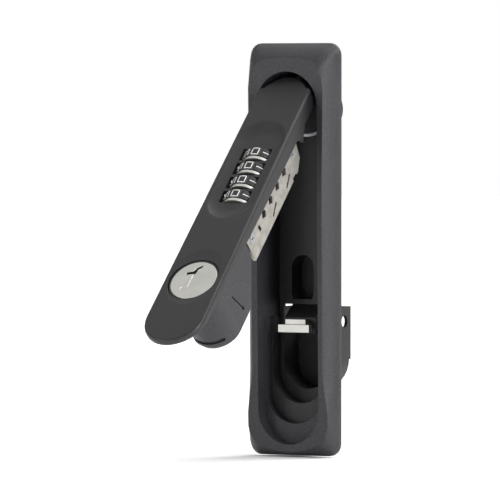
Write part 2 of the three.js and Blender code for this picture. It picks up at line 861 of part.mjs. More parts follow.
// A wheel with a shallow groove between each digit and the next.
function makeWheel(s) {
  const points = [];
  const step = (2 * Math.PI) / digits;
  for (let i = 0; i < digits; i++) {
    const start = step * (i - 0.5);
    const outline = [[0, -0.35], [0.1, 0], [0.37, 0], [0.63, 0], [0.9, 0]];
    outline.forEach(([share, rise]) => {
      const angle = start + step * share - Math.PI / 2;
      const radius = wheelRadius + rise;
      points.push([radius * Math.cos(angle), wheelY + radius * Math.sin(angle)]);
    });
  }
  const top = -s + wheelLong / 2;
  const low = top - wheelLong + collarLong + gap;
  const bore = rod("z", sleeveRadius + gap, low - 1, top + 1, [0, wheelY, 0], 32);
  return cut(prism("z", points, low, top), bore);
}

// A wheel's sleeve: a tube on the shaft, with a collar that shows beside the wheel's digits.
function makeSleeve(s) {
  const top = -s + wheelLong / 2;
  const low = top - wheelLong;
  const at = [0, wheelY, 0];
  const tube = rod("z", sleeveRadius, low, top, at, 32);
  const collar = rod("z", collarRadius, low, low + collarLong, at, 40);
  const bore = rod("z", shaftRadius + running, low - 1, top + 1, at, 24);
  return cut(tube.add(collar), bore);
}

for (let i = 0; i < wheelCount; i++) {
  addPart(handle, "code_wheel_" + (i + 1), makeWheel(wheelPlace(i)), blackPlastic());
  addPart(handle, "wheel_sleeve_" + (i + 1), makeSleeve(wheelPlace(i)), nickel());
}

// --- Cassette that holds the wheels -----------------------------------------------------------

const cassetteFront = faceBack + 0.4;
const cassetteBack = pinFace + cassetteDepth;
const cassetteTop = firstWheel - wheelRadius - 6;
const behindWheels = 19.4;
const cassetteLow = wheelPlace(wheelCount - 1) + behindWheels;
const endWall = 2.4;
const rivetPlaces = [cassetteTop + 5.8, cassetteLow - 4];
const rivetRadius = 1.1;
const rivetHead = 1.9;
const rivetY = wallEnd + 2.6;
const notchShift = 2.1;
const notchHalfLong = 2.1;
const slitFront = wallEnd + 5.8;
const slitPlaces = [2, 17.5];
const slitHalfLong = 2.8;
const slitWidth = 1.1;
const slitSlant = 2.3;
const peepFromEnd = 11.2;
const peepWidth = 2.6;
const peepLong = 1.6;

function platePoints() {
  return [
    [cassetteFront, -cassetteTop],
    [cassetteFront, -cassetteLow],
    [cassetteBack, -cassetteLow],
    [cassetteBack, -cassetteTop - 12.5],
    [cassetteBack - 1, -cassetteTop - 12.2],
    [cassetteBack - 1, -cassetteTop - 9],
    [cassetteBack, -cassetteTop - 8.6],
    [cassetteBack, -cassetteTop - 7.3],
    [cassetteBack - 3, -cassetteTop - 2.3],
    [cassetteFront + 3, -cassetteTop],
  ];
}

const latchY = keeperFront + keeperWing + gap + latchThick / 2 - pinY;
const latchRoom = [latchY - latchThick / 2 - gap, latchY + latchThick / 2 + gap];

// Both side plates, with the end walls between them and the windows that show the wheels.
function makeCassette() {
  const plates = join(
    prism("x", platePoints(), plateIn, plateOut),
    prism("x", platePoints(), -plateOut, -plateIn),
  );
  const width = [-plateIn - 0.1, plateIn + 0.1];
  const deep = cassetteBack - plateWall - gap;
  const topWall = box(width, [cassetteFront, deep - 3], [-cassetteTop - endWall, -cassetteTop]);
  const lowWall = box(width, [cassetteFront, deep], [-cassetteLow, -cassetteLow + endWall]);
  const latchSlot = box(
    [-railOut - gap, railOut + gap],
    latchRoom,
    [-cassetteLow - 1, -cassetteLow + endWall + 1],
  );
  const shaftHole = rod("z", shaftRadius + gap, -cassetteLow - 1, -cassetteTop + 1, [0, wheelY, 0], 24);
  const rivetHoles = rivetPlaces.map((s) => rod("x", rivetRadius + gap, -far, far, [0, rivetY, -s], 16));
  return cut(join(plates, topWall, lowWall), ...plateWindows(), latchSlot, shaftHole, ...rivetHoles);
}

// A notch beside each wheel, two slanted slits further back, and a square peephole.
function plateWindows() {
  const notches = Array.from({ length: wheelCount }, (_, i) => {
    const s = wheelPlace(i) + notchShift;
    const points = [
      [wallEnd - 0.4, -s + 0.4],
      [wallEnd + 2.4, -s + notchHalfLong],
      [wallEnd + 4.3, -s + 0.6],
      [wallEnd + 3, -s - notchHalfLong],
    ];
    return prism("x", points, -far, far);
  });
  const slits = slitPlaces.map((from) => {
    const s = firstWheel + from;
    const points = [
      [slitFront, -s + slitHalfLong],
      [slitFront + slitWidth, -s + slitHalfLong],
      [slitFront + slitSlant + slitWidth, -s - slitHalfLong],
      [slitFront + slitSlant, -s - slitHalfLong],
    ];
    return prism("x", points, -far, far);
  });
  const peepS = cassetteLow - peepFromEnd;
  const peep = box([-far, far], [rivetY, rivetY + peepWidth], [-peepS - peepLong / 2, -peepS + peepLong / 2]);
  return [...notches, ...slits, peep];
}

const ribPlace = 6.2;

function makeCover() {
  const top = -cassetteTop - 13;
  const low = -cassetteLow + endWall + gap;
  const plate = box([-plateIn + gap, plateIn - gap], [cassetteBack - plateWall, cassetteBack], [low, top]);
  const ribDeep = [cassetteBack - 2.4, cassetteBack - 1];
  const ribs = [-ribPlace, ribPlace].map((x) => box([x - 0.6, x + 0.6], ribDeep, [low + 2, top - 2]));
  const lipDeep = [wheelY + shaftRadius + 2.1, cassetteBack - 0.1];
  const lip = box([-plateIn + gap, plateIn - gap], lipDeep, [low, low + 1.2]);
  return join(plate, ...ribs, lip);
}

addPart(handle, "cassette_frame", makeCassette(), zinc());
addPart(handle, "cassette_cover", makeCover(), zinc());

rivetPlaces.forEach((s, place) => {
  [1, -1].forEach((side) => {
    const name = ["cassette_rivet", place + 1, side > 0 ? "right" : "left"].join("_");
    const ends = [side * (plateIn + 0.2), side * plateOut].sort((a, b) => a - b);
    const cap = [side * (plateOut + 0.02), side * (plateOut + 0.3)].sort((a, b) => a - b);
    const shank = rod("x", rivetRadius, ends[0] - 0.1, ends[1] + 0.1, [0, rivetY, -s], 20);
    const head = rod("x", rivetHead, cap[0], cap[1], [0, rivetY, -s], 24);
    addPart(handle, name, shank.add(head), steel());
  });
});

function makeShaft() {
  return rod("z", shaftRadius, -cassetteLow + 0.4, -cassetteTop - 0.4, [0, wheelY, 0], 24);
}

addPart(handle, "wheel_shaft", makeShaft(), steel());

// A comb of four leaf springs that click the wheels from digit to digit.
function makeComb() {
  const top = -wheelPlace(0) + wheelLong / 2;
  const low = -wheelPlace(wheelCount - 1) - wheelLong / 2;
  const x = wheelRadius + 0.9;
  const spine = box([-x, -x + 0.5], [wheelY + 4, cassetteBack - plateWall - gap - 1.3], [low, top]);
  const leaves = Array.from({ length: wheelCount }, (_, i) => {
    const s = wheelPlace(i);
    return box([-x, -x + 0.5], [wheelY - 1, wheelY + 4.1], [-s - 1.2, -s + 1.2]);
  });
  return join(spine, ...leaves);
}

addPart(handle, "detent_comb", makeComb(), steel());

// --- Latch ----------------------------------------------------------------------------------

const keeperLowS = pinZ - keeperLow;
const teethTop = keeperLowS + 0.6;
const teethLow = teethTop + 2.4;
const crossBar = 1.8;
const latchLow = teethLow + crossBar + gap;
const camFront = pinFace + cylinderLong;

// Two long rails from the code wheels, with a tooth each that passes behind the keeper's head, and
// a cross bar with a tail that the key cylinder's cam pushes.
function makeLatch() {
  const y = [latchY - latchThick / 2, latchY + latchThick / 2];
  const rails = [1, -1].map((side) => {
    const x = [side * railIn, side * railOut].sort((a, b) => a - b);
    return box(x, y, [-latchLow, -cassetteLow + 9]);
  });
  const teeth = [1, -1].map((side) => {
    const x = [side * (stemHalfWidth + 0.5), side * (railIn + 0.1)].sort((a, b) => a - b);
    return box(x, y, [-teethLow - 0.5, -teethTop]);
  });
  const bar = box([-railIn - 0.1, railIn + 0.1], y, [-latchLow, -latchLow + crossBar]);
  const tail = box([-2, 2], [y[1] - 0.1, camFront + camThick], [-latchLow, -latchLow + crossBar]);
  return join(...rails, ...teeth, bar, tail);
}

addPart(handle, "latch", makeLatch(), zinc());

// --- Lock block and key cylinder ----------------------------------------------------------------

const blockHalfWidth = wellRadius - 0.65;
const blockBack = pinFace + blockDepth;
const blockTop = cassetteLow + gap + 0.6;
const blockFront = faceBack + gap;
const blockEdge = 2.2;
const capRadius = 7.6;
const markDepth = 0.9;
const markY = 9.2;
const markS = 104.4;
const markLong = 10;
const slopeFront = dishFloor - pinY - (floorEnd + pinZ + loose - blockTop);
const camRoom = 9.3;
const keySlotLow = latchLow + 0.3;

function blockBlank() {
  const ring = (y, inset) => {
    const half = blockHalfWidth - inset;
    return slotRing(y, half, -blockTop, half, -keyFromPin, 20);
  };
  const tall = loft([ring(blockFront, 0), ring(blockBack - blockEdge, 0), ring(blockBack, 1.2)]);
  const room = box([-far, far], [-far, far], [-far, -blockTop]);
  const slope = [
    [slopeFront, -blockTop + 1],
    [slopeFront, -blockTop],
    [blockBack + 2, slopeFront - blockTop - blockBack - 2],
    [blockBack + 2, -blockTop + 1],
  ];
  return cut(tall.intersect(room), prism("x", slope, -far, far));
}

function makeBlock() {
  const keeperRoom = keeperHalfWidth + 0.5;
  const webBack = keeperFront - pinY - loose;
  const slot = box([-keeperRoom, keeperRoom], [webBack, blockBack + 1], [-keySlotLow, -blockTop + 1]);
  const rails = box([-railOut - gap, railOut + gap], latchRoom, [-keySlotLow, -blockTop + 1]);
  const at = [0, 0, -keyFromPin];
  const bore = rod("y", bodyRadius + gap, blockFront - 1, camFront + 1, at, 40);
  const cavity = rod("y", camRoom, camFront - gap, blockBack - 2.6, at, 48);
  const mouth = rod("y", capRadius + gap, blockBack - 2.7, blockBack + 1, at, 40);
  return cut(blockBlank(), slot, rails, bore, cavity, mouth, ...sideMark(), drainSlot());
}

// A slanted groove that ends in a round dimple, on the block's right side.
function sideMark() {
  const inner = blockHalfWidth - markDepth;
  const points = [
    [markY, -markS],
    [markY + 0.4, -markS - 0.5],
    [markY + markLong, -markS + 2.6],
    [markY + markLong, -markS + 3.1],
  ];
  const end = [0, markY + markLong, -markS + 2.8];
  return [prism("x", points, inner, far), rod("x", 0.75, inner - 1, far, end, 16)];
}

// A slot in the block's round end, in front of its cap.
function drainSlot() {
  const y = [blockBack - 5, blockBack - 3.4];
  const at = [0, 0, -keyFromPin];
  const ring = rod("y", blockHalfWidth + 2, y[0], y[1], at, 40);
  const inside = rod("y", blockHalfWidth - markDepth, y[0] - 1, y[1] + 1, at, 40);
  const where = box([-8.5, 7], [0, far], [-keyFromPin - 20, -keyFromPin - 5]);
  return ring.subtract(inside).intersect(where);
}

function makeCap() {
  const at = [0, 0, -keyFromPin];
  return join(
    rod("y", capRadius, blockBack - 2.2, blockBack - 0.2, at, 40),
    rod("y", capRadius - 2, blockBack - 0.3, blockBack + 0.1, at, 40),
  );
}

addPart(handle, "lock_block", makeBlock(), blackCast());
addPart(handle, "block_cap", makeCap(), blackPlastic());

const bodyFront = pinFace + seatDepth + gap;

function makeCylinderBody() {
  const at = [0, 0, -keyFromPin];
  const tube = rod("y", bodyRadius, bodyFront, camFront - gap, at, 40);
  const bore = rod("y", plugRadius + running, bodyFront - 1, camFront + 1, at, 40);
  return cut(tube, bore);
}

addPart(handle, "cylinder_body", makeCylinderBody(), brass());

function makeBezel() {
  const at = [0, 0, -keyFromPin];
  const ring = rod("y", ringOuter, pinFace + discSink + 0.1, pinFace + seatDepth - gap, at, 48);
  const hole = rod("y", keyDiscRadius + 0.15, pinFace - 1, pinFace + seatDepth + 1, at, 48);
  return cut(ring, hole);
}

addPart(handle, "key_bezel", makeBezel(), blackPlastic());

const discFront = pinFace + discSink;
const discBack = pinFace + seatDepth - gap;

const slitDepth = 0.9;
const reliefDepth = 0.3;
const keySlit = [
  [-4.6, 4.1],
  [-1.9, 4.7],
  [-1.3, 6.4],
  [1.2, 8],
  [1.2, 6.8],
  [-0.3, 5.6],
  [-0.9, 3.5],
  [-4.6, 2.8],
];
const keyRelief = [
  [-1.5, 5.2],
  [1.1, 5.2],
  [1.1, -4.9],
  [-4.2, -4.9],
  [-4.2, -3.6],
  [-1.5, -3.6],
];

// The round key face and the plug behind it: a bent keyway slit and a hooked relief below it.
function makePlug() {
  const at = [0, 0, -keyFromPin];
  const disc = rod("y", keyDiscRadius, discFront, discBack, at, 48);
  const plug = rod("y", plugRadius, discBack - 0.1, camFront - gap, at, 40);
  const around = (points) => points.map(([x, z]) => [x, z - keyFromPin]);
  const hook = prism("y", around(keySlit), discFront - 1, discFront + slitDepth);
  const relief = prism("y", around(keyRelief), discFront - 1, discFront + reliefDepth);
  const screwHole = rod("y", 1.5, camFront - 7, camFront + 1, at, 16);
  return cut(disc.add(plug), hook, relief, screwHole);
}

addPart(handle, "key_plug", makePlug(), nickel());

const camReach = latchLow - latchTravel;

function makeCam() {
  const at = [0, 0, -keyFromPin];
  const hub = rod("y", plugRadius, camFront, camFront + camThick, at, 40);
  const reach = keyFromPin - camReach - 0.6;
  const arm = box([0, reach - 1.5], [camFront, camFront + camThick], [-keyFromPin - 1.5, -keyFromPin + 1.5]);
  const tip = rod("y", 1.5, camFront, camFront + camThick, [reach - 1.5, 0, -keyFromPin], 16);
  const hole = rod("y", 1.8, camFront - 1, camFront + camThick + 1, at, 16);
  return cut(join(hub, arm, tip), hole);
}

addPart(handle, "cylinder_cam", makeCam(), steel());
addPart(
  handle,
  "cam_screw",
  screwAlongY(camFront - 6, camFront + camThick + gap, 1.2, 2.8, 1.6, [0, 0, -keyFromPin]),
  steel(),
);

export default lock;
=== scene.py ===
"""Looks of a pop-out swing handle lock: finishes, edges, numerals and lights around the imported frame.

Metres throughout, in the frame's own axes: X right, +Y into the door, +Z up.
"""

import json
import math

import bpy
from mathutils import Matrix, Vector


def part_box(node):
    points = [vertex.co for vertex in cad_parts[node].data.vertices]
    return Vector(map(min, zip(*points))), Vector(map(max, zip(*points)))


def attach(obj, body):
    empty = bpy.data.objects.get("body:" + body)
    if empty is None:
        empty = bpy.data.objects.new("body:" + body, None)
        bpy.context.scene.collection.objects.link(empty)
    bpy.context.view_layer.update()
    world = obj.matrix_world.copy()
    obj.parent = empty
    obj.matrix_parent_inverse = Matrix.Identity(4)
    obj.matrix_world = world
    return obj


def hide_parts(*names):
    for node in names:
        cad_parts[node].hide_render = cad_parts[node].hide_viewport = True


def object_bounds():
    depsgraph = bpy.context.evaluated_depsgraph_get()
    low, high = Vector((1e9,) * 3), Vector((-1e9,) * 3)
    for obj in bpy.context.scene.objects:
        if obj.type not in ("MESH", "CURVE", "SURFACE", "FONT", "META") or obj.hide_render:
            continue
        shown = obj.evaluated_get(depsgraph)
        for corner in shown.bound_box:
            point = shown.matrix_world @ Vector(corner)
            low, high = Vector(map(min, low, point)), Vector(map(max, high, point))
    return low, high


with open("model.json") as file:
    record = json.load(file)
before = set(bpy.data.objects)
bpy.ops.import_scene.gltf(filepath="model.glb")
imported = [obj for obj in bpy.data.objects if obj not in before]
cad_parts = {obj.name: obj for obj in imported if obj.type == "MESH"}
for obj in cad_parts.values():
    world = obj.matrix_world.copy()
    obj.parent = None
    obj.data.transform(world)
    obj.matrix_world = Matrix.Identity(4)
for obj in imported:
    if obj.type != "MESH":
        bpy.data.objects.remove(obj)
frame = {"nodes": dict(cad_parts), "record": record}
cad_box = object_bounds()

MM = 0.001
JOINTS = {joint["name"]: joint for joint in frame["record"]["behaviour"]["joints"]}
BODIES = frame["record"]["behaviour"]["bodies"]
BODY_OF = {node: body for body, nodes in BODIES.items() for node in nodes}
SLOT_OF = {part["node"]: part["material_slot"] for part in frame["record"]["subparts"]}

# The handle's own frame: its hinge pin is the origin, and its tip lies along -Z.
PIN = Vector(JOINTS["handle_tilt"]["pos_m"])
TILT = math.radians(JOINTS["handle_tilt"]["range_deg"][0])
HANDLE = Matrix.Translation(PIN) @ Matrix.Rotation(TILT, 4, "X")

# The dish's half width, and the depth over which painted shade darkens its coat more and more.
DISH_HALF_WIDTH = 14.0 * MM
DISH_SHADE_FADE = 7 * MM
# The near black of the painted shade deep in the dish.
DISH_PAINTED_SHADE = "#060607"

# Edges sharper than this many degrees are rounded, and the faces beside them are shaded apart.
SHARP_CORNER = 35
EDGE_SEGMENTS = 2

WHEELS = [1, 2, 3, 4]
DIGITS = 10


# --- Nodes and materials ---------------------------------------------------------------------


def linear(hex_colour):
    """An sRGB hex colour as the linear RGBA that a socket takes."""
    parts = [int(hex_colour[i : i + 2], 16) / 255 for i in (1, 3, 5)]
    curve = [c / 12.92 if c <= 0.04045 else ((c + 0.055) / 1.055) ** 2.4 for c in parts]
    return (*curve, 1.0)


def add(tree, kind, settings=None, **inputs):
    """Adds one node. An input given as a (node, socket) pair is a link, anything else is a value.
    _0 is the first input, for nodes whose inputs share one name."""
    made = tree.nodes.new(kind)
    for name, value in (settings or {}).items():
        setattr(made, name, value)
    for name, value in inputs.items():
        place = int(name[1:]) if name[1:].isdigit() else name.replace("_", " ")
        socket = made.inputs[place]
        if isinstance(value, tuple) and isinstance(value[0], bpy.types.Node):
            tree.links.new(value[0].outputs[value[1]], socket)
        else:
            socket.default_value = value
    return made


def per_metre(size_mm):
    """The scale of a noise whose features are this many millimetres across."""
    return 1 / (size_mm * MM)


def start_material(name):
    """A material with its shader wired to the output, and the object's own coordinates."""
    made = bpy.data.materials.new(name)
    made.use_nodes = True
    tree = made.node_tree
    tree.nodes.clear()
    coords = add(tree, "ShaderNodeTexCoord")
    shader = add(tree, "ShaderNodeBsdfPrincipled")
    add(tree, "ShaderNodeOutputMaterial", Surface=(shader, "BSDF"))
    return made, tree, coords, shader


def wire(tree, source, output, shader, socket):
    """Links one output of a node to a socket of the shader."""
    tree.links.new(source.outputs[output], shader.inputs[socket])


def powder_coat(name, dark, light, grain_mm, bump_mm, rough, painted_shade_from=None):
    """Powder coat baked on die-cast zinc: a matt orange-peel grain that breaks the light up,
    a slow drift in depth of colour, and slightly polished patches. The grain is drawn coarser
    than the real one, about 0.2 mm, so that it still shows. Past the depth given last, in metres
    into the door, painted shade makes the colour darker than the real coat, so that the dish
    reads as in shadow."""
    made, tree, coords, shader = start_material(name)
    place = (coords, "Object")
    fine = {"Scale": per_metre(grain_mm), "Detail": 3.0, "Roughness": 0.6}
    grain = add(tree, "ShaderNodeTexNoise", Vector=place, **fine)
    cloud = add(tree, "ShaderNodeTexNoise", Vector=place, Scale=per_metre(26), Detail=3.0)
    speck = add(tree, "ShaderNodeTexVoronoi", Vector=place, Scale=per_metre(grain_mm * 1.6))
    times_plus = {"operation": "MULTIPLY_ADD"}
    mixed = add(tree, "ShaderNodeMath", times_plus, _0=(speck, "Distance"), _1=0.35, _2=(grain, "Fac"))
    shade = add(tree, "ShaderNodeMath", times_plus, _0=(cloud, "Fac"), _1=0.45, _2=(mixed, "Value"))
    ramp = add(tree, "ShaderNodeValToRGB", Fac=(shade, "Value"))
    ramp.color_ramp.elements[0].position = 0.45
    ramp.color_ramp.elements[0].color = linear(dark)
    ramp.color_ramp.elements[1].position = 1.0
    ramp.color_ramp.elements[1].color = linear(light)
    spread = {"From_Min": 0.3, "From_Max": 0.7, "To_Min": rough - 0.05, "To_Max": rough + 0.06}
    gloss = add(tree, "ShaderNodeMapRange", Value=(cloud, "Fac"), **spread)
    bump = add(tree, "ShaderNodeBump", Height=(mixed, "Value"), Strength=0.55, Distance=bump_mm * MM)
    wire(tree, ramp, "Color", shader, "Base Color")
    # Painted shade: within the dish's half width, the colour fades to near black with depth into the
    # door, so that the dish reads as a shadowed hollow.
    if painted_shade_from is not None:
        parts = add(tree, "ShaderNodeSeparateXYZ", Vector=place)
        fade = {"From_Min": painted_shade_from, "From_Max": painted_shade_from + DISH_SHADE_FADE}
        deep = add(tree, "ShaderNodeMapRange", Value=(parts, "Y"), **fade)
        across = add(tree, "ShaderNodeMath", {"operation": "ABSOLUTE"}, _0=(parts, "X"))
        less = {"operation": "LESS_THAN"}
        inside = add(tree, "ShaderNodeMath", less, _0=(across, "Value"), _1=DISH_HALF_WIDTH)
        times = {"operation": "MULTIPLY"}
        both = add(tree, "ShaderNodeMath", times, _0=(deep, "Result"), _1=(inside, "Value"))
        dish_shade_colour = add(
            tree,
            "ShaderNodeMix",
            {"data_type": "RGBA"},
            Factor=(both, "Value"),
            _6=(ramp, "Color"),
            _7=linear(DISH_PAINTED_SHADE),
        )
        wire(tree, dish_shade_colour, 2, shader, "Base Color")
    wire(tree, gloss, "Result", shader, "Roughness")
    wire(tree, bump, "Normal", shader, "Normal")
    shader.inputs["IOR"].default_value = 1.5
    shader.inputs["Specular IOR Level"].default_value = 0.5
    return made


def moulded_nylon(name, dark, light, rough):
    """Injection-moulded black nylon: an even satin sheen with faint flow marks."""
    made, tree, coords, shader = start_material(name)
    place = (coords, "Object")
    flow = add(tree, "ShaderNodeTexNoise", Vector=place, Scale=per_metre(5), Detail=2.0, Distortion=0.6)
    fine = add(tree, "ShaderNodeTexNoise", Vector=place, Scale=per_metre(0.3), Detail=2.0)
    colour = add(
        tree,
        "ShaderNodeMix",
        {"data_type": "RGBA"},
        Factor=(flow, "Fac"),
        _6=linear(dark),
        _7=linear(light),
    )
    gloss = add(tree, "ShaderNodeMapRange", Value=(flow, "Fac"), To_Min=rough - 0.06, To_Max=rough + 0.08)
    bump = add(tree, "ShaderNodeBump", Height=(fine, "Fac"), Strength=0.25, Distance=0.02 * MM)
    wire(tree, colour, 2, shader, "Base Color")
    wire(tree, gloss, "Result", shader, "Roughness")
    wire(tree, bump, "Normal", shader, "Normal")
    shader.inputs["IOR"].default_value = 1.53
    return made


def cast_metal(name, dark, light, rough):
    """Bare pressure-cast zinc: dull warm grey, mottled where the skin chilled, with a fine sand."""
    made, tree, coords, shader = start_material(name)
    place = (coords, "Object")
    blotches = {"Scale": per_metre(4), "Detail": 5.0, "Roughness": 0.65}
    mottle = add(tree, "ShaderNodeTexNoise", Vector=place, **blotches)
    sand = add(tree, "ShaderNodeTexNoise", Vector=place, Scale=per_metre(0.5), Detail=3.0)
    ramp = add(tree, "ShaderNodeValToRGB", Fac=(mottle, "Fac"))
    ramp.color_ramp.elements[0].position = 0.3
    ramp.color_ramp.elements[0].color = linear(dark)
    ramp.color_ramp.elements[1].position = 0.68
    ramp.color_ramp.elements[1].color = linear(light)
    spread = {"From_Min": 0.3, "From_Max": 0.7, "To_Min": rough + 0.08, "To_Max": rough - 0.06}
    gloss = add(tree, "ShaderNodeMapRange", Value=(mottle, "Fac"), **spread)
    bump = add(tree, "ShaderNodeBump", Height=(sand, "Fac"), Strength=0.5, Distance=0.03 * MM)
    wire(tree, ramp, "Color", shader, "Base Color")
    wire(tree, gloss, "Result", shader, "Roughness")
    wire(tree, bump, "Normal", shader, "Normal")
    shader.inputs["Metallic"].default_value = 1.0
    return made


def plated_metal(name, dark, light, rough):
    """Plate over brushed metal: bright, with fine drawn lines that stretch each highlight."""
    made, tree, coords, shader = start_material(name)
    drawn = {"Rotation": (math.radians(-45), 0, 0), "Scale": (0.08, 1, 1)}
    turned = add(tree, "ShaderNodeMapping", Vector=(coords, "Object"), **drawn)
    lines = add(tree, "ShaderNodeTexNoise", Vector=(turned, "Vector"), Scale=per_metre(0.25), Detail=3.0)
    cloud = add(tree, "ShaderNodeTexNoise", Vector=(coords, "Object"), Scale=per_metre(7), Detail=3.0)
    colour = add(
        tree,
        "ShaderNodeMix",
        {"data_type": "RGBA"},
        Factor=(cloud, "Fac"),
        _6=linear(dark),
        _7=linear(light),
    )
    spread = {"From_Min": 0.3, "From_Max": 0.7, "To_Min": rough - 0.05, "To_Max": rough + 0.08}
    gloss = add(tree, "ShaderNodeMapRange", Value=(lines, "Fac"), **spread)
    bump = add(tree, "ShaderNodeBump", Height=(lines, "Fac"), Strength=0.2, Distance=0.01 * MM)
    wire(tree, colour, 2, shader, "Base Color")
    wire(tree, gloss, "Result", shader, "Roughness")
    wire(tree, bump, "Normal", shader, "Normal")
    shader.inputs["Metallic"].default_value = 1.0
    return made


def printed_ink(name, colour):
    """White pad-printed ink: flat and chalky, a little uneven where it was pressed on."""
    made, tree, coords, shader = start_material(name)
    patch = add(tree, "ShaderNodeTexNoise", Vector=(coords, "Object"), Scale=per_metre(0.8), Detail=2.0)
    tone = add(tree, "ShaderNodeMapRange", Value=(patch, "Fac"), To_Min=0.86, To_Max=1.0)
    times = {"data_type": "RGBA", "blend_type": "MULTIPLY"}
    mixed = add(tree, "ShaderNodeMix", times, Factor=1.0, _6=linear(colour), _7=(tone, "Result"))
    wire(tree, mixed, 2, shader, "Base Color")
    shader.inputs["Roughness"].default_value = 0.6
    return made


# The housing's coat carries painted shade in its dish, from 1 mm into the door.
housing_coat = powder_coat(
    "powder_coated_zinc_housing", "#060607", "#2c2c31", 0.55, 0.3, 0.46, painted_shade_from=-1 * MM
)
handle_coat = powder_coat("powder_coated_zinc_handle", "#0e0e0f", "#1e1e20", 0.3, 0.035, 0.42)
nylon = moulded_nylon("moulded_black_nylon", "#141416", "#1e1e21", 0.42)
wheel_nylon = moulded_nylon("moulded_black_acetal", "#101012", "#19191c", 0.35)
bare_zinc = cast_metal("die_cast_zinc", "#a09d96", "#bfbcb4", 0.42)
satin_nickel = plated_metal("satin_nickel_plate", "#bcbcb7", "#d6d5cf", 0.36)
zinc_plated = plated_metal("zinc_plated_steel", "#96999c", "#c3c6c8", 0.33)
turned_brass = plated_metal("turned_brass", "#a98c4d", "#c8ab66", 0.35)
white_ink = printed_ink("white_printing_ink", "#f0f0ec")

FINISH = {
    "cast_black": housing_coat,
    "handle_black": handle_coat,
    "cap_black": nylon,
    "wheel_black": wheel_nylon,
    "zinc": bare_zinc,
    "nickel": satin_nickel,
    "steel": zinc_plated,
    "brass": turned_brass,
}


# --- Working on meshes ------------------------------------------------------------------------


def only(piece):
    """Leaves one object selected and active."""
    bpy.ops.object.select_all(action="DESELECT")
    piece.select_set(True)
    bpy.context.view_layer.objects.active = piece


def apply_modifier(piece, kind, **settings):
    """Adds one modifier with its settings and applies it at once."""
    only(piece)
    made = piece.modifiers.new(kind.lower(), kind)
    for name, value in settings.items():
        setattr(made, name, value)
    bpy.ops.object.modifier_apply(modifier=made.name)


def finish_edges(piece, edge_mm):
    """Rounds the sharp edges by a real radius and shades the faces between them flat."""
    corner = math.radians(SHARP_CORNER)
    apply_modifier(
        piece,
        "BEVEL",
        width=edge_mm * MM,
        segments=EDGE_SEGMENTS,
        limit_method="ANGLE",
        angle_limit=corner,
        miter_outer="MITER_ARC",
        use_clamp_overlap=True,
    )
    bpy.ops.object.shade_smooth_by_angle(angle=corner)
    apply_modifier(piece, "WEIGHTED_NORMAL", keep_sharp=True, weight=50)


def trimmed_copy(node, name):
    """A copy of a CAD node's mesh, merged and with its flat faces made whole."""
    source = frame["nodes"][node]
    piece = bpy.data.objects.new(name, source.data.copy())
    bpy.context.scene.collection.objects.link(piece)
    only(piece)
    bpy.ops.object.mode_set(mode="EDIT")
    bpy.ops.mesh.select_all(action="SELECT")
    bpy.ops.mesh.remove_doubles(threshold=0.002 * MM)
    bpy.ops.mesh.dissolve_limited(angle_limit=math.radians(0.4))
    bpy.ops.object.mode_set(mode="OBJECT")
    return piece


def dress(piece, *finishes):
    """Gives a piece its finishes, the first of them all over."""
    piece.data.materials.clear()
    for finish in finishes:
        piece.data.materials.append(finish)


def settle(piece, node):
    """Gives a piece its body, and puts it in its CAD node's place."""
    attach(piece, BODY_OF[node])
    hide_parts(node)


def rounded_node(node, name, edge_mm):
    """A CAD node's shape with its edges rounded, in its slot's finish."""
    piece = trimmed_copy(node, name)
    finish_edges(piece, edge_mm)
    dress(piece, FINISH[SLOT_OF[node]])
    settle(piece, node)


# --- Pieces -----------------------------------------------------------------------------------

# Each CAD node that keeps its shape: its piece's name, and its edge radius in millimetres.
ROUNDED = {
    "housing": ("housing_casting", 0.25),
    "keeper": ("keeper_catch", 0.25),
    "keeper_screw": ("keeper_fixing_screw", 0.08),
    "rotor": ("swing_rotor", 0.25),
    "rotor_washer": ("rotor_thrust_washer", 0.1),
    "retaining_ring": ("rotor_retaining_ring", 0.12),
    "handle_shell": ("handle_casting", 0.22),
    "hinge_pin": ("handle_hinge_pin", 0.1),
    "cassette_frame": ("wheel_cassette", 0.12),
    "cassette_cover": ("wheel_cassette_cover", 0.12),
    "wheel_shaft": ("wheel_axle", 0.15),
    "detent_comb": ("wheel_detent_comb", 0.05),
    "latch": ("sliding_latch", 0.15),
    "lock_block": ("lock_block_casting", 0.25),
    "block_cap": ("lock_block_cap", 0.2),
    "cylinder_body": ("key_cylinder_body", 0.12),
    "key_bezel": ("key_bezel_ring", 0.08),
    "cylinder_cam": ("key_cam", 0.12),
    "cam_screw": ("key_cam_screw", 0.08),
}
for number in WHEELS:
    ROUNDED[f"wheel_sleeve_{number}"] = (f"code_wheel_collar_{number}", 0.15)

for node, (name, edge_mm) in ROUNDED.items():
    rounded_node(node, name, edge_mm)


def bar(size, turn):
    """A plain cutting bar in the handle's frame, turned about X."""
    bpy.ops.object.select_all(action="DESELECT")
    bpy.ops.mesh.primitive_cube_add(size=1)
    made = bpy.context.active_object
    made.data.transform(Matrix.Diagonal((*size, 1)))
    made.data.transform(Matrix.Rotation(turn, 4, "X"))
    return made


# The cross pressed into a fixing: how deep, wide and long its cutting bars are, and their turns.
CROSS_BAR = (0.5 * MM, 0.55 * MM, 2.7 * MM)
CROSS_TURNS = (math.radians(20), math.radians(110))
# How far below the head's top the cross's floor lies, from and to; faces there are painted black as the
# cross's shade.
CROSS_SHADE_FLOOR = (0.1 * MM, 0.28 * MM)


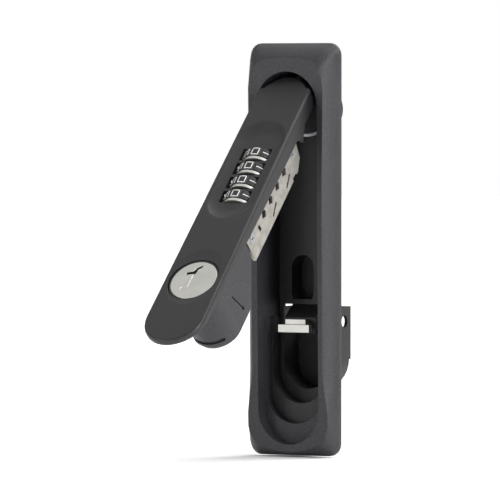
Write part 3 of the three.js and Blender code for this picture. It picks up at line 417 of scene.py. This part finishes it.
def cassette_fixing(node, name):
    """A low round head with a cross pressed into it, its floor painted black as the shade down the cross.
    """
    piece = trimmed_copy(node, name)
    low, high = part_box(node)
    outer = high.x if high.x > 0 else low.x
    middle = (low + high) / 2
    for turn in CROSS_TURNS:
        cutter = bar(CROSS_BAR, turn)
        cutter.data.transform(Matrix.Translation(Vector((outer, middle.y, middle.z))))
        apply_modifier(piece, "BOOLEAN", object=cutter, operation="DIFFERENCE", solver="EXACT")
        bpy.data.objects.remove(cutter)
    finish_edges(piece, 0.07)
    dress(piece, FINISH[SLOT_OF[node]], nylon)
    # Painted shade: the cross's floor takes the black nylon, in place of the shadow down a deeper cross.
    for face in piece.data.polygons:
        sunk = abs(outer) - abs(face.center.x)
        if CROSS_SHADE_FLOOR[0] < sunk < CROSS_SHADE_FLOOR[1] and abs(face.normal.x) > 0.9:
            face.material_index = 1
    settle(piece, node)


# Where the keyway's faces lie that are painted black as its shade: how far behind the face, and how near
# the key's axis.
KEYWAY_SHADE_DEPTH = (0.33 * MM, 1.0 * MM)
KEYWAY_SHADE_REACH = 9 * MM


def key_face(node, name):
    """The key's face and plug, with painted shade, black, in the keyway's slit so that its slit reads
    from the front.
    """
    piece = trimmed_copy(node, name)
    finish_edges(piece, 0.14)
    dress(piece, satin_nickel, nylon)
    into = HANDLE.inverted()
    centre = into @ Vector(JOINTS["key_turn"]["pos_m"])
    front = min((into @ v.co).y for v in piece.data.vertices)
    # Painted shade: the slit's faces take the black nylon, in place of the shadow down a deep keyway.
    for face in piece.data.polygons:
        place = into @ face.center
        deep = place.y - front
        around = math.hypot(place.x - centre.x, place.z - centre.z)
        if KEYWAY_SHADE_DEPTH[0] < deep < KEYWAY_SHADE_DEPTH[1] and around < KEYWAY_SHADE_REACH:
            face.material_index = 1
    settle(piece, node)


key_face("key_plug", "key_plug_face")

for side in ("right", "left"):
    for place in (1, 2):
        cassette_fixing(f"cassette_rivet_{place}_{side}", f"cassette_rivet_head_{place}_{side}")


# --- Code wheels with their numerals ------------------------------------------------------------

WHEEL_RADIUS = 7.6 * MM
NUMERAL_TALL = 2.9 * MM
NUMERAL_WIDE = 3.2 * MM
STROKE = 0.2 * MM
STROKE_PARTS = 4
INK = 0.035 * MM

# Each numeral as strokes in a box one wide and one tall.
BOX = [(0, 0), (1, 0), (1, 1), (0, 1), (0, 0)]
STROKES = {
    0: [BOX],
    1: [[(0.5, 0), (0.5, 1)]],
    2: [[(0, 1), (1, 1), (1, 0.5), (0, 0.5), (0, 0), (1, 0)]],
    3: [[(0, 1), (1, 1), (1, 0), (0, 0)], [(0.2, 0.5), (1, 0.5)]],
    4: [[(0, 1), (0, 0.45), (1, 0.45)], [(0.75, 1), (0.75, 0)]],
    5: [[(1, 1), (0, 1), (0, 0.5), (1, 0.5), (1, 0), (0, 0)]],
    6: [[(1, 1), (0, 1), (0, 0), (1, 0), (1, 0.5), (0, 0.5)]],
    7: [[(0, 1), (1, 1), (0.4, 0)]],
    8: [BOX, [(0, 0.5), (1, 0.5)]],
    9: [[(0, 0), (1, 0), (1, 1), (0, 1), (0, 0.5), (1, 0.5)]],
}


def numeral(digit, angle, axis, along):
    """One numeral, wrapped round the wheel at its angle, its foot towards the handle's right side."""
    curve = bpy.data.curves.new("numeral", "CURVE")
    curve.dimensions = "3D"
    curve.bevel_depth = STROKE
    curve.bevel_resolution = 2
    curve.use_fill_caps = True
    # Each stroke is cut into short parts, so that it bends with the wheel.
    for stroke in STROKES[digit]:
        closed = stroke[0] == stroke[-1]
        points = stroke[:-1] if closed else stroke
        fine = []
        for i, start in enumerate(points):
            end = points[(i + 1) % len(points)]
            if i + 1 == len(points) and not closed:
                fine.append(start)
                break
            run, rise = end[0] - start[0], end[1] - start[1]
            shares = [k / STROKE_PARTS for k in range(STROKE_PARTS)]
            fine += [(start[0] + run * share, start[1] + rise * share) for share in shares]
        spline = curve.splines.new("POLY")
        spline.points.add(len(fine) - 1)
        spline.use_cyclic_u = closed
        for point, (u, v) in zip(spline.points, fine):
            point.co = ((u - 0.5) * NUMERAL_WIDE, (v - 0.5) * NUMERAL_TALL, 0, 1)
    drawn = bpy.data.objects.new("numeral", curve)
    bpy.context.scene.collection.objects.link(drawn)
    only(drawn)
    bpy.ops.object.convert(target="MESH")
    flat = bpy.context.active_object
    for vertex in flat.data.vertices:
        turn = angle - vertex.co.y / WHEEL_RADIUS
        reach = WHEEL_RADIUS + vertex.co.z * INK / STROKE
        out, front = reach * math.sin(turn), reach * math.cos(turn)
        vertex.co = (axis.x + out, axis.y - front, along + vertex.co.x)
    return flat


def code_wheel(number):
    """One code wheel with ten printed numerals round it."""
    node = f"code_wheel_{number}"
    piece = trimmed_copy(node, f"code_wheel_ring_{number}")
    finish_edges(piece, 0.18)
    dress(piece, wheel_nylon)
    into = HANDLE.inverted()
    local = [into @ v.co for v in piece.data.vertices]
    lows = [min(v[i] for v in local) for i in range(3)]
    highs = [max(v[i] for v in local) for i in range(3)]
    axis = Vector(((lows[0] + highs[0]) / 2, (lows[1] + highs[1]) / 2, 0))
    along = (lows[2] + highs[2]) / 2
    numerals = [numeral(d, math.tau * d / DIGITS, axis, along) for d in range(DIGITS)]
    bpy.ops.object.select_all(action="DESELECT")
    for item in numerals:
        item.select_set(True)
    bpy.context.view_layer.objects.active = numerals[0]
    bpy.ops.object.join()
    ring = bpy.context.active_object
    ring.data.transform(HANDLE)
    dress(ring, white_ink)
    bpy.ops.object.select_all(action="DESELECT")
    ring.select_set(True)
    piece.select_set(True)
    bpy.context.view_layer.objects.active = piece
    bpy.ops.object.join()
    settle(piece, node)


for number in WHEELS:
    code_wheel(number)


# --- Floor, lights and camera -------------------------------------------------------------------


FLOOR_RADIUS = 6
FLOOR_GAP = 0.5 * MM


def make_floor():
    """A wide pale floor just under the object."""
    under = (0, 0, cad_box[0][2] - FLOOR_GAP)
    bpy.ops.object.select_all(action="DESELECT")
    bpy.ops.mesh.primitive_circle_add(
        vertices=96, radius=FLOOR_RADIUS, fill_type="NGON", location=under
    )
    floor = bpy.context.active_object
    floor.name = "studio_floor"
    made, tree, coords, shader = start_material("pale_painted_floor")
    drift = add(tree, "ShaderNodeTexNoise", Vector=(coords, "Object"), Scale=1.5, Detail=2.0)
    colour = add(
        tree,
        "ShaderNodeMix",
        {"data_type": "RGBA"},
        Factor=(drift, "Fac"),
        _6=linear("#f4f4f4"),
        _7=linear("#fafafa"),
    )
    wire(tree, colour, 2, shader, "Base Color")
    shader.inputs["Roughness"].default_value = 0.8
    floor.data.materials.append(made)


def make_light(name, place, size, power):
    """A white softbox that faces the object, its size in metres and its power in watts."""
    data = bpy.data.lights.new(name, "AREA")
    data.shape = "RECTANGLE"
    data.size, data.size_y = size
    data.energy = power
    lamp = bpy.data.objects.new(name, data)
    bpy.context.scene.collection.objects.link(lamp)
    lamp.location = place
    lamp.rotation_euler = (-Vector(place)).to_track_quat("-Z", "Y").to_euler()


def make_world():
    """White at the horizon, dim a little above it, and bright towards the ceiling, like a large
    overhead softbox."""
    world = bpy.data.worlds.new("studio")
    bpy.context.scene.world = world
    world.use_nodes = True
    tree = world.node_tree
    back = tree.nodes["Background"]
    coords = add(tree, "ShaderNodeTexCoord")
    parts = add(tree, "ShaderNodeSeparateXYZ", Vector=(coords, "Generated"))
    ramp = add(tree, "ShaderNodeValToRGB", Fac=(parts, "Z"))
    # From the horizon to straight up: the height, and the brightness there.
    stops = [(0.0, 1.0), (0.05, 1.0), (0.1, 0.3), (0.45, 0.3), (0.75, 0.8), (1.0, 0.85)]
    points = ramp.color_ramp.elements
    while len(points) < len(stops):
        points.new(0.5)
    for point, (place, value) in zip(points, stops):
        point.position = place
        point.color = (value, value, value, 1)
    tree.links.new(ramp.outputs["Color"], back.inputs["Color"])
    back.inputs["Strength"].default_value = 1.0


def make_sun():
    """A very soft downward light, as from a bright ceiling."""
    data = bpy.data.lights.new("ceiling_bounce", "SUN")
    data.energy = 3.0
    data.angle = math.radians(50)
    lamp = bpy.data.objects.new("ceiling_bounce", data)
    bpy.context.scene.collection.objects.link(lamp)
    lamp.rotation_euler = Vector((-0.3, -0.55, -0.8)).to_track_quat("-Z", "Y").to_euler()


# The camera stands to the object's right and a touch above it, far off for a flat perspective.
AZIMUTH = math.radians(29.0)
ELEVATION = math.radians(1.5)
DISTANCE = 2.4
# How far its aim lies to the left of the object's origin and below it, and how wide it sees there.
SIDE_STEP = 0.0188
DOWN_STEP = 0.0003
VIEW_WIDTH = 0.20025
SENSOR_MM = 36


def make_camera():
    """The camera, aimed a little left of the object."""
    right = Vector((math.cos(AZIMUTH), math.sin(AZIMUTH), 0))
    back = Vector(
        (
            math.sin(AZIMUTH) * math.cos(ELEVATION),
            -math.cos(AZIMUTH) * math.cos(ELEVATION),
            math.sin(ELEVATION),
        )
    )
    data = bpy.data.cameras.new("camera")
    data.sensor_width = SENSOR_MM
    data.lens = SENSOR_MM * DISTANCE / VIEW_WIDTH
    data.clip_start = 0.05
    data.clip_end = 50
    camera = bpy.data.objects.new("camera", data)
    bpy.context.scene.collection.objects.link(camera)
    target = -SIDE_STEP * right + Vector((0, 0, -DOWN_STEP))
    camera.location = target + DISTANCE * back
    camera.rotation_euler = (-back).to_track_quat("-Z", "Y").to_euler()
    bpy.context.scene.camera = camera


make_floor()
make_world()
make_sun()
make_light("left_softbox", (-1.5, -2.0, 0.9), (0.7, 1.0), 11)
make_light("right_softbox", (1.9, -0.5, 0.6), (0.5, 1.4), 26)
make_camera()
bpy.context.scene.view_settings.view_transform = "Standard"
